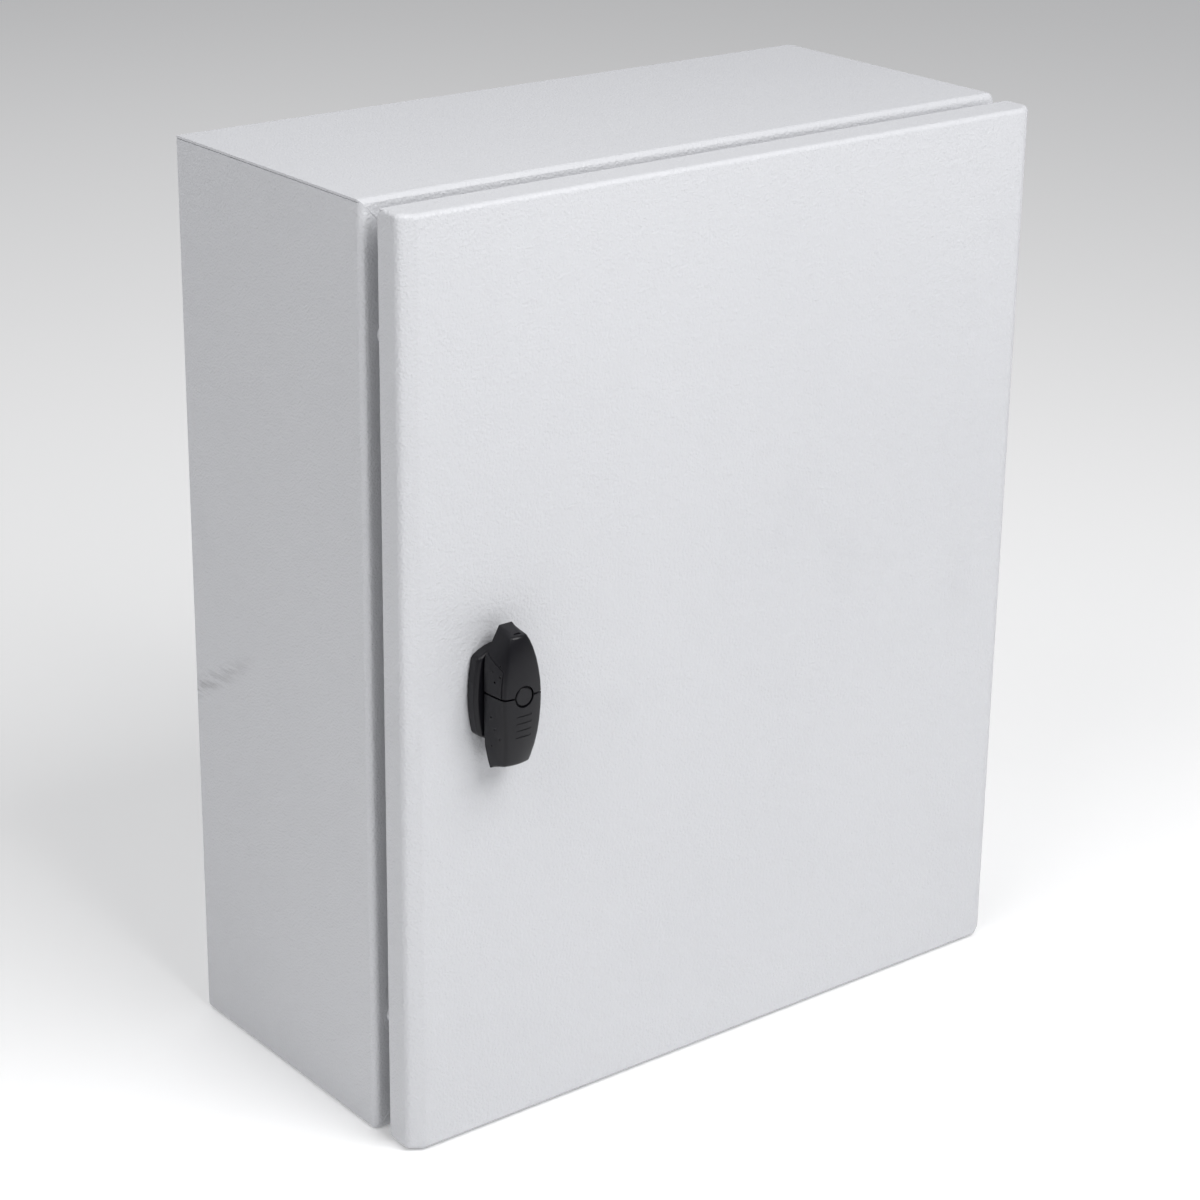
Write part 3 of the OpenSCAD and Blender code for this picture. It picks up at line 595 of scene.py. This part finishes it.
edgeWidths = {                                 # in mm
    "rear_panel": 0.2, "mounting_plate": 0.3, "gland_plate": 0.3, "plate_studs": 0.3, "plate_nuts": 0.35,
    "plate_washers": 0.2, "earth_stud": 0.3, "earth_nuts": 0.3, "gland_studs": 0.3, "gland_nuts": 0.25,
    "gland_seal": 0.3, "hinge_block_upper": 0.5, "hinge_block_lower": 0.5, "hinge_nuts": 0.35,
    "hinge_pin_upper": 0.3, "hinge_pin_lower": 0.3, "stiffener_left": 0.3, "stiffener_right": 0.3,
    "stiffener_studs": 0.25, "stiffener_nuts": 0.25, "door_leaf_upper": 0.4, "door_leaf_lower": 0.4,
    "leaf_studs": 0.25, "leaf_nuts": 0.25, "door_earth_stud": 0.3, "door_earth_nuts": 0.25,
    "lock_barrel": 0.3, "barrel_nut": 0.5, "spindle": 0.3, "cam": 0.3, "cam_washer": 0.1, "cam_screw": 0.3,
    "spare_collar_upper": 0.8, "spare_collar_lower": 0.8, "escutcheon_seal": 0.2,
}


def finishedCopy(node, width):                 # the CAD node with its edges broken, as after deburring
    activate(nodes[node])
    bpy.ops.object.duplicate()
    obj = bpy.context.object
    for key in list(obj.keys()):
        del obj[key]
    obj.parent = None
    startEdit(obj)
    bpy.ops.mesh.select_all(action="SELECT")
    bpy.ops.mesh.remove_doubles(threshold=0.00001)
    bpy.ops.mesh.dissolve_limited(angle_limit=math.radians(1))
    endEdit()
    softEdges(obj, width * mm, 2, 40)
    smooth(obj, 35)
    words = node.split("_") if "_" in node else [node, "piece"]
    settle(obj, words[0] + "".join(word.capitalize() for word in words[1:]), bodyOf[node], slotOf[node])
    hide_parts(node)


for node, width in edgeWidths.items():
    finishedCopy(node, width)
print("hardware made")


plate = {"side": 3 * mm, "crown": 5.6 * mm, "corner": 2 * mm, "round": 2.6 * mm}
plateLow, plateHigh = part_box("escutcheon")


def bulge(first, last, rise, outward, count=8):   # points along an arc that rises outward from a chord
    first, last, outward = Vector(first), Vector(last), Vector(outward)
    steps = [i / count for i in range(count)]
    return [first.lerp(last, step) + outward * rise * (1 - (2 * step - 1) ** 2) for step in steps]


def escutcheonPlate(cfg):                      # bulging sides, crowned ends and rounded corners
    centre = (plateLow + plateHigh) / 2
    wide, high = centre.x - plateLow.x - cfg["side"], plateHigh.z - centre.z - cfg["crown"]
    corners = [(wide, high), (-wide, high), (-wide, -high), (wide, -high)]
    rises = [(cfg["crown"], (0, 1)), (cfg["side"], (-1, 0)), (cfg["crown"], (0, -1)), (cfg["side"], (1, 0))]
    outline = []
    for i, (rise, outward) in enumerate(rises):
        outline += bulge(corners[i], corners[(i + 1) % 4], rise, outward)
    deselect()
    bpy.ops.mesh.primitive_circle_add(vertices=len(outline), radius=1, fill_type="NGON")
    obj = bpy.context.object
    for vertex, point in zip(obj.data.vertices, outline):
        vertex.co = (centre.x + point.x, plateHigh.y, centre.z + point.y)
    startEdit(obj)
    pick(lambda v: abs(abs(v.co.x - centre.x) - wide) < 0.01 * mm
         and abs(abs(v.co.z - centre.z) - high) < 0.01 * mm)
    bpy.ops.mesh.bevel(offset=cfg["corner"], segments=5, affect="VERTICES")
    bpy.ops.mesh.select_all(action="SELECT")
    bpy.ops.mesh.extrude_region_move(TRANSFORM_OT_translate={"value": (0, plateLow.y - plateHigh.y, 0)})
    bpy.ops.mesh.select_all(action="SELECT")
    bpy.ops.mesh.normals_make_consistent(inside=False)
    pick(lambda e: all(v.co.y < plateLow.y + 0.1 * mm for v in e.verts), "EDGE")
    bpy.ops.mesh.bevel(offset=cfg["round"], segments=8, affect="EDGES")
    endEdit()
    cut(obj, post((lockAxis.x, centre.y, lockAxis.z), pan["lockHole"], 40 * mm))
    smooth(obj, 40)
    return settle(obj, "escutcheonPlate", "door", "black_plastic")


platePiece = escutcheonPlate(plate)
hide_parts("escutcheon")

grip = {
    "ridge": 1.7 * mm, "eye": 6.85 * mm, "tipSlant": 3.2 * mm, "crown": 1.5 * mm, "draft": 1.5,
    "edge": 0.3 * mm, "ridgeAngle": 34, "layers": 4,
    "panelDepth": 0.45 * mm, "panelBack": 26 * mm, "panelFront": 17 * mm, "panelInset": 4.4 * mm,
    "slotHalf": 2.2 * mm, "slotDepth": (12.4 * mm, 10.9 * mm), "slotFoot": 37 * mm, "dot": 0.6 * mm,
    # height from the lock axis, half width at the back and at the front, and setback of the front, in mm
    "upper": [(0.6, 15.0, 13.6, 0), (8, 15.0, 13.1, 0.1), (15, 14.9, 12.1, 0.5), (22, 14.3, 10.8, 1.2),
              (28, 11.6, 9.3, 2.1), (33, 8.9, 7.6, 3.2), (37, 6.6, 5.8, 4.6), (40.6, 4.6, 3.8, 6.6)],
    "lower": [(0.6, 15.4, 13.8, 0), (9, 15.5, 13.6, 0.1), (18, 15.5, 13.0, 0.5), (26, 15.4, 12.1, 1.2),
              (34, 15.0, 11.0, 2.6), (41, 13.6, 9.8, 4.4), (46, 12.4, 9.0, 6.0), (49.8, 11.2, 8.2, 8.2)],
    # depth from the back and height of the raised dots on the sides
    "upperDots": [(12.2, 20.0), (7.2, 15.5), (13.4, 13.6), (9.4, 9.4)],
    "lowerDots": [(6.0, -14.0), (8.6, -21.5), (12.2, -27.0), (5.6, -33.0)],
}
gripLow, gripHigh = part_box("upper_grip")
gripBack, gripFront = gripHigh.y, gripLow.y
gripMiddle = (gripBack + gripFront) / 2


def wingBlank(cfg, outline, direction, grow=0.0):   # a ladder of faces, drawn out and drafted
    obj = panel((0, 0, 0), 1, 1, (math.pi / 2, 0, 0))
    startEdit(obj)
    pick(lambda e: abs(e.verts[0].co.x - e.verts[1].co.x) > 0.5, "EDGE")
    bpy.ops.mesh.subdivide(number_cuts=5)      # columns across the front, for its crown
    pick(lambda v: v.co.z > 0)
    for _ in outline[2:]:
        bpy.ops.mesh.extrude_region_move(TRANSFORM_OT_translate={"value": (0, 0, 1)})
    bpy.ops.mesh.select_all(action="SELECT")
    for _ in range(cfg["layers"]):
        bpy.ops.mesh.extrude_region_move(TRANSFORM_OT_translate={"value": (0, -1, 0)})
    bpy.ops.mesh.select_all(action="SELECT")
    bpy.ops.mesh.normals_make_consistent(inside=False)
    endEdit()
    for vertex in obj.data.vertices:
        height, back, front, setback = (value * mm for value in outline[round(vertex.co.z + 0.5)])
        share = max(0.0, -vertex.co.y / cfg["layers"])
        half = back + (front - back) * share ** cfg["draft"] + grow
        across = vertex.co.x / 0.5             # from -1 to 1
        vertex.co.x = lockAxis.x + half * across
        tip = 1 if height == outline[-1][0] * mm else 0
        vertex.co.z = lockAxis.z + direction * (height - tip * cfg["tipSlant"] * share)
        front = gripFront + setback + cfg["crown"] * across ** 2
        vertex.co.y = gripBack + (front - gripBack) * share
    startEdit(obj)
    bpy.ops.mesh.select_all(action="SELECT")
    bpy.ops.mesh.normals_make_consistent(inside=False)
    endEdit()
    return obj


def eyeCutter(cfg):                            # keeps both grips clear of the hub
    return post((lockAxis.x, gripMiddle, lockAxis.z), cfg["eye"], 60 * mm, 96)


def sidePanel(cfg, obj):                       # proud panels on both sides, with a slanting top edge
    outer = wingBlank(cfg, cfg["upper"], 1, cfg["panelDepth"])
    wedge = block((lockAxis.x - 30 * mm, gripFront + cfg["panelInset"], lockAxis.z - past),
                  (lockAxis.x + 30 * mm, gripBack + past, lockAxis.z + cfg["panelBack"]))
    startEdit(wedge)
    pick(lambda v: v.co.y < gripMiddle and v.co.z > lockAxis.z)
    bpy.ops.transform.translate(value=(0, 0, cfg["panelFront"] - cfg["panelBack"]))
    endEdit()
    modify(wedge, "BOOLEAN", operation="INTERSECT", solver="EXACT", object=outer)
    bpy.data.objects.remove(outer)
    cut(wedge, eyeCutter(cfg))
    modify(obj, "BOOLEAN", operation="UNION", solver="EXACT", object=wedge)
    bpy.data.objects.remove(wedge)


def raisedDots(cfg, obj, spots, outline, raised):
    for depth, height in spots:
        row = next(i for i, step in enumerate(outline) if step[0] > abs(height))
        low, high = outline[row - 1], outline[row]
        part = (abs(height) - low[0]) / (high[0] - low[0])
        back, front, setback = (low[k] + (high[k] - low[k]) * part for k in (1, 2, 3))
        reach = (gripBack - gripFront - cfg["crown"]) / mm - setback
        half = (back + (front - back) * (depth / reach) ** cfg["draft"]) * mm + raised
        for side in (-1, 1):
            deselect()
            spot = (lockAxis.x + side * half, gripBack - depth * mm, lockAxis.z + height * mm)
            bpy.ops.mesh.primitive_uv_sphere_add(segments=16, ring_count=8, radius=cfg["dot"], location=spot)
            dot = bpy.context.object
            modify(obj, "BOOLEAN", operation="UNION", solver="EXACT", object=dot)
            bpy.data.objects.remove(dot)


def wing(cfg, outline, direction, name):
    obj = wingBlank(cfg, outline, direction)
    startEdit(obj, "EDGE")
    pick(lambda e: len(e.link_faces) == 2 and e.calc_face_angle(0) > math.radians(cfg["ridgeAngle"])
         and all(v.co.y < gripBack - 1 * mm for v in e.verts)
         and abs((e.verts[0].co.z + e.verts[1].co.z) / 2 - lockAxis.z) > 1 * mm, "EDGE")
    bpy.ops.mesh.bevel(offset=cfg["ridge"], segments=4, affect="EDGES", clamp_overlap=True)
    endEdit()
    if direction > 0:
        front, back = (gripBack - depth for depth in cfg["slotDepth"])
        slot = block((lockAxis.x - cfg["slotHalf"], front, lockAxis.z + cfg["slotFoot"]),
                     (lockAxis.x + cfg["slotHalf"], back, lockAxis.z + cfg["slotFoot"] + 8 * mm))
        cut(obj, slot)
    else:
        gripRibs(rib, obj)
    cut(obj, eyeCutter(cfg))
    softEdges(obj, cfg["edge"], 3, 45)
    if direction > 0:
        sidePanel(cfg, obj)
        raisedDots(cfg, obj, cfg["upperDots"], outline, cfg["panelDepth"])
    else:
        raisedDots(cfg, obj, cfg["lowerDots"], outline, 0)
    smooth(obj, 42)
    return settle(obj, name, "handle", "black_plastic")


rib = {
    "top": -12 * mm, "pitch": 4.6 * mm, "length": 11 * mm, "width": 1.1 * mm, "depth": 0.5 * mm,
    "fall": [0.3 * mm, 0.5 * mm, 0.85 * mm, 1.35 * mm],   # setback of the crowned front at each groove
}


def gripRibs(cfg, obj):                        # shallow finger grooves across the front of the lower grip
    half = cfg["length"] / 2
    for step, fall in enumerate(cfg["fall"]):
        height = lockAxis.z + cfg["top"] - step * cfg["pitch"]
        groove = block((lockAxis.x - half, gripFront - past, height - cfg["width"] / 2),
                       (lockAxis.x + half, gripFront + cfg["depth"] + fall, height + cfg["width"] / 2))
        cut(obj, groove)


upperPiece = wing(grip, grip["upper"], 1, "upperWing")
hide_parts("upper_grip")
lowerPiece = wing(grip, grip["lower"], -1, "lowerWing")
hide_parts("lower_grip")

cap = {"edge": 0.7 * mm}
capLow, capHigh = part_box("hub_cap")


def hubCap(cfg):
    obj = post((capLow + capHigh) / 2, (capHigh.x - capLow.x) / 2, capHigh.y - capLow.y, 96)
    softEdges(obj, cfg["edge"], 4, 45)
    smooth(obj, 40)
    return settle(obj, "hubCap", "handle", "black_plastic")


capPiece = hubCap(cap)
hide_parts("hub_cap")
finishedCopy("handle_core", 0.4)
print("handle made")


studio = {
    "floor": (0.93, 0.93, 0.93, 1), "floorShade": (0.9, 0.9, 0.9, 1), "floorScale": 0.8, "floorGlow": 0.16,
    "world": (0.965, 0.972, 1.0, 1), "worldStrength": 0.25,
    "key": {"place": (0.2, -1.6, 1.7), "size": 1.4, "power": 41},
    "fill": {"place": (-1.5, -0.6, 1.7), "size": 1.3, "power": 14},
    "top": {"place": (0.3, 1.6, 2.6), "size": 3.0, "power": 20},
}


def softbox(name, cfg, aim):
    spot = Vector(cfg["place"])
    bpy.ops.object.light_add(type="AREA", location=spot)
    made = bpy.context.object
    made.name = name
    made.data.energy = cfg["power"]
    made.data.size = cfg["size"]
    made.rotation_mode = "QUATERNION"
    made.rotation_quaternion = (aim - spot).to_track_quat("-Z", "Y")


def studioSet(cfg):
    deselect()
    low, high = cadBox
    bpy.ops.mesh.primitive_plane_add(size=60, location=(0, 0, low.z))
    floor = bpy.context.object
    floor.name = "studioFloor"
    coat = Finish("studioFloorCoat", Roughness=0.7, Emission_Strength=cfg["floorGlow"])
    tone = coat.blend(coat.noise(cfg["floorScale"], 1.0) * 0.2, cfg["floor"], cfg["floorShade"])
    coat.feed("Base Color", tone)
    coat.feed("Emission Color", tone)
    floor.data.materials.append(coat.material)
    world = bpy.data.worlds.new("studioWorld")
    scene.world = world
    world.use_nodes = True
    sky = world.node_tree.nodes["Background"].inputs
    sky["Color"].default_value = cfg["world"]
    sky["Strength"].default_value = cfg["worldStrength"]
    for name in ("key", "fill", "top"):
        softbox(name + "Softbox", cfg[name], (low + high) / 2)
    scene.view_settings.view_transform = "Standard"


studioSet(studio)
print("studio made")
